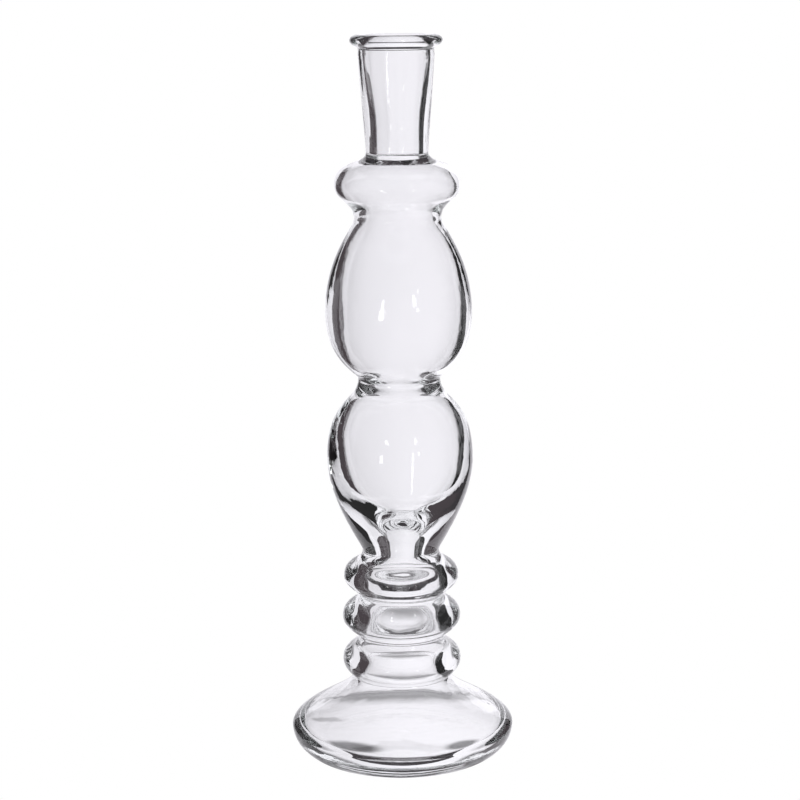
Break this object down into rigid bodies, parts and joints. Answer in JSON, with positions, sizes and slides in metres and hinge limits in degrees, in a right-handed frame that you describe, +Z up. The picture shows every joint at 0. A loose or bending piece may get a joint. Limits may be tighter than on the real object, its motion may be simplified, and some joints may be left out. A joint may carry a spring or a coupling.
{
  "type": "glass bud vase",
  "caption": "Tall clear glass bud vase with a lipped neck, a collar, stacked bulbs, a ringed stem and a round hollow foot; holds a flower stem or a slim candle.",
  "frame": {"origin": "centre of the foot, at the flat ring that the vase stands on", "axes": "+Z up along the vase's axis, from the foot to the mouth; X and Y are any two directions at right angles, because the vase is turned"},
  "size_m": [0.0892, 0.0892, 0.285],
  "materials": {
    "clear_glass": "clear, fire-polished, with slight moulding ripple"
  },
  "bodies": {
    "root": {"glass_vessel": "clear_glass"}
  },
  "joints": []
}
